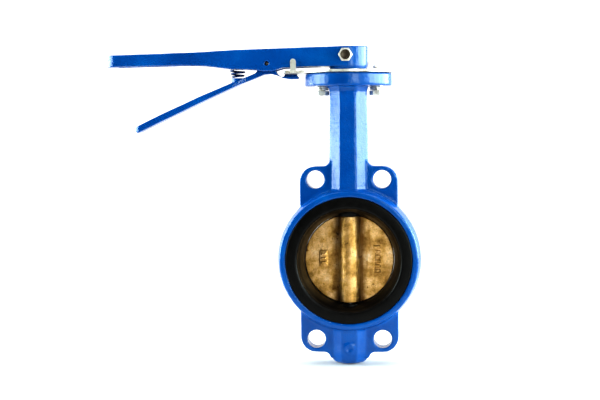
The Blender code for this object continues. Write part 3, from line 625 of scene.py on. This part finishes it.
def make_bolts(look, dish_steel):
    """The plate's two bolts, and the hub's set bolt with a darker steel on its dish."""
    for side in ("left", "right"):
        low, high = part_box(f"plate_bolt_{side}")
        centre = ((low.x + high.x) / 2, 0)
        seat = low.z + HEAD_HEIGHT
        shank = threaded(BOLT_RADIUS, seat - 0.001, high.z)
        bolt = hex_bolt(f"flange_bolt_{side}", "Z", centre, seat, (0.0042, 0.0005), shank)
        finished(bolt, look, "valve_body", "stainless_steel", f"plate_bolt_{side}")
    low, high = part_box("lever_clamp_bolt")
    centre = ((low.x + high.x) / 2, (low.z + high.z) / 2)
    seat = low.y + HEAD_HEIGHT
    shank = threaded(BOLT_RADIUS, seat - 0.001, high.y)
    bolt = hex_bolt("hub_set_bolt", "Y", centre, seat, (HUB_DISH_RADIUS, 0.0010), shank)
    finished(bolt, look, "spindle", "stainless_steel", "lever_clamp_bolt")
    # The dish faces of the hub bolt get the darker steel.
    bolt.data.materials.append(dish_steel)
    for face in bolt.data.polygons:
        aside = math.hypot(face.center.x - centre[0], face.center.z - centre[1])
        if aside < HUB_DISH_RADIUS and face.center.y < low.y + 0.0012:
            face.material_index = 1


def make_roll_pin(look):
    """A slotted spring pin, its ends just inside the lever's sides."""
    low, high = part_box("trigger_pin")
    centre = ((low.x + high.x) / 2, (low.z + high.z) / 2)
    outside = arc(centre, PIN_OUTER, PIN_SLOT / 2, math.tau - PIN_SLOT / 2, 28)
    inside = arc(centre, PIN_INNER, math.tau - PIN_SLOT, PIN_SLOT, 28)
    pin = new_object("roll_pin", loft(((low.y, outside + inside), (high.y, outside + inside)), "Y"))
    finished(pin, look, "spindle", "stainless_steel", "trigger_pin")


def make_spring(look):
    """A conical coil that rides on the lever."""
    low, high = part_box("trigger_spring")
    wire = SPRING_WIRE
    sides = 10
    bm = bmesh.new()
    rings = []
    count = int(SPRING_TURNS * 40)
    centre_z = (low.z + wire, high.z - wire)
    for i in range(count + 1):
        share = i / count
        eased = min(1.0, max(0.0, (share - SPRING_FLAT_ENDS) / (1 - 2 * SPRING_FLAT_ENDS)))
        turn = math.tau * SPRING_TURNS * share + 2.4
        radius = SPRING_SMALL + SPRING_GROWTH * share
        middle = Vector((SPRING_CENTRE + radius * math.cos(turn), radius * math.sin(turn),
                         centre_z[0] + (centre_z[1] - centre_z[0]) * eased))
        out = Vector((math.cos(turn), math.sin(turn), 0))
        up = Vector((0, 0, 1))
        size = wire * (0.98 if 0 < i < count else 0.5)
        rings.append([bm.verts.new(middle + out * size * math.cos(a) + up * size * math.sin(a))
                      for a in [math.tau * k / sides for k in range(sides)]])
    for first, second in zip(rings, rings[1:]):
        for k in range(sides):
            bm.faces.new((first[k], first[(k + 1) % sides], second[(k + 1) % sides], second[k]))
    bm.faces.new(reversed(rings[0]))
    bm.faces.new(rings[-1])
    coil = new_object("trigger_coil", faces_out(bm))
    coil.data.materials.append(look)
    coil.data.shade_smooth()
    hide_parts("trigger_spring")
    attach(coil, "spindle")
    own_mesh(coil)


def carry_over(looks):
    """Gives each CAD node that stays a full material."""
    names = {
        "steel": ("stem", "thrust_washer"),
        "dark": ("retaining_ring",),
        "zinc": ("notch_plate", "flat_washer_left", "flat_washer_right",
                 "spring_washer_left", "spring_washer_right"),
        "polymer": ("upper_bush", "middle_bush", "lower_bush"),
        "rubber": ("stem_o_ring_upper", "stem_o_ring_lower", "boss_o_ring"),
    }
    for look, nodes in names.items():
        for node in nodes:
            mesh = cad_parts[node].data
            mesh.materials.clear()
            mesh.materials.append(looks[look])


# Studio.


def make_camera():
    """The camera, turned by its yaw, pitch and roll."""
    yaw, pitch, roll = (math.radians(v) for v in (CAMERA_YAW, CAMERA_PITCH, CAMERA_ROLL))
    ahead = Vector((math.sin(yaw) * math.cos(pitch), math.cos(yaw) * math.cos(pitch), math.sin(pitch)))
    right = Vector((math.cos(yaw), -math.sin(yaw), 0))
    up = right.cross(ahead)
    leant_right = right * math.cos(roll) + up * math.sin(roll)
    leant_up = up * math.cos(roll) - right * math.sin(roll)
    camera = bpy.data.objects.new("camera", bpy.data.cameras.new("camera"))
    bpy.context.scene.collection.objects.link(camera)
    turn = Matrix((leant_right, leant_up, -ahead)).transposed().to_4x4()
    camera.matrix_world = Matrix.Translation(CAMERA_PLACE) @ turn
    camera.data.lens = CAMERA_LENS
    camera.data.sensor_width = 36
    camera.data.clip_start = 0.01
    bpy.context.scene.camera = camera


def softbox(name, place, target, width, height, radiance, colour=(1, 1, 1)):
    """A rectangular light that faces a point."""
    light = bpy.data.lights.new(name, "AREA")
    light.shape = "RECTANGLE"
    light.size = width
    light.size_y = height
    light.energy = radiance * math.pi * width * height
    light.color = colour
    made = bpy.data.objects.new(name, light)
    bpy.context.scene.collection.objects.link(made)
    made.location = place
    made.rotation_euler = (Vector(target) - Vector(place)).to_track_quat("-Z", "Y").to_euler()
    made.visible_camera = False


def make_lights():
    """Wide softboxes at both sides, a strip in front and one light above."""
    cool = (0.84, 1.0, 0.98)
    softbox("left_softbox", (-1.30, 0.03, 0.34), (0, 0.03, 0.34), 1.56, 0.86, 9.0, cool)
    softbox("right_softbox", (1.30, 0.13, 0.34), (0, 0.13, 0.34), 2.10, 0.86, 9.5, cool)
    softbox("front_strip", (0.60, -1.50, 0.36), (0, 0, 0.10), 0.50, 0.80, 6.0, (0.90, 1.0, 0.98))
    softbox("top_softbox", (0.0, 0.10, 1.50), (0, 0, 0), 1.6, 1.0, 2.5)


def make_world():
    """White behind and black in front of the valve, but white to the camera everywhere."""
    world = bpy.data.worlds.new("studio")
    bpy.context.scene.world = world
    world.use_nodes = True
    tree = world.node_tree
    background = tree.nodes["Background"]
    where = tree.nodes.new("ShaderNodeTexCoord")
    parts = tree.nodes.new("ShaderNodeSeparateXYZ")
    tree.links.new(where.outputs["Generated"], parts.inputs[0])
    fade = tree.nodes.new("ShaderNodeMapRange")
    fade.interpolation_type = "SMOOTHSTEP"
    fade.inputs["From Min"].default_value = -0.55
    fade.inputs["From Max"].default_value = 0.10
    tree.links.new(parts.outputs["Y"], fade.inputs["Value"])
    ray = tree.nodes.new("ShaderNodeLightPath")
    seen = tree.nodes.new("ShaderNodeMath")
    seen.operation = "MAXIMUM"
    tree.links.new(fade.outputs["Result"], seen.inputs[0])
    tree.links.new(ray.outputs["Is Camera Ray"], seen.inputs[1])
    tree.links.new(seen.outputs["Value"], background.inputs["Strength"])
    background.inputs["Color"].default_value = (1, 1, 1, 1)


def make_floor():
    """A round pale floor that glows a little, as a lit product table does."""
    below = FLOOR_Z - FLOOR_DEPTH
    bm = turned([(0, below), (FLOOR_RADIUS, below), (FLOOR_RADIUS, FLOOR_Z), (0, FLOOR_Z)], 96)
    floor = new_object("floor", bm)
    look = Look("pale_floor")
    look.set(Roughness=0.9, Specular_IOR_Level=0.1, Emission_Color=(1, 1, 1, 1), Emission_Strength=0.10)
    look.colour(look.ramp(look.noise(3, 2, 0.5), (0.3, (0.50, 0.50, 0.50)), (0.7, (0.53, 0.53, 0.53))))
    floor.data.materials.append(look.made)


def build():
    blue = blue_epoxy("blue_epoxy")
    rubber = black_rubber("black_rubber")
    bronze = cast_bronze("bronze")
    steel = bright_steel("bright_steel")
    dish_steel = dark_steel("dark_dish_steel", (0.085, 0.065, 0.045))
    dark = dark_steel("dark_steel", (0.05, 0.045, 0.045))
    spring = dark_steel("spring_coating", (0.012, 0.03, 0.10))
    looks = {"steel": steel, "zinc": zinc_plating("zinc", 0.88), "polymer": bearing_polymer("bush_polymer"),
             "rubber": rubber, "dark": dark}
    make_body(blue)
    make_lever(blue)
    make_trigger(blue)
    make_seat(rubber)
    make_disc(bronze)
    make_bolts(zinc_plating("bolt_plating", 1.0), dish_steel)
    make_roll_pin(dark)
    make_spring(spring)
    carry_over(looks)
    make_camera()
    make_lights()
    make_world()
    make_floor()
    bpy.context.scene.view_settings.view_transform = "Standard"
    bpy.context.scene.view_settings.look = "High Contrast"


build()
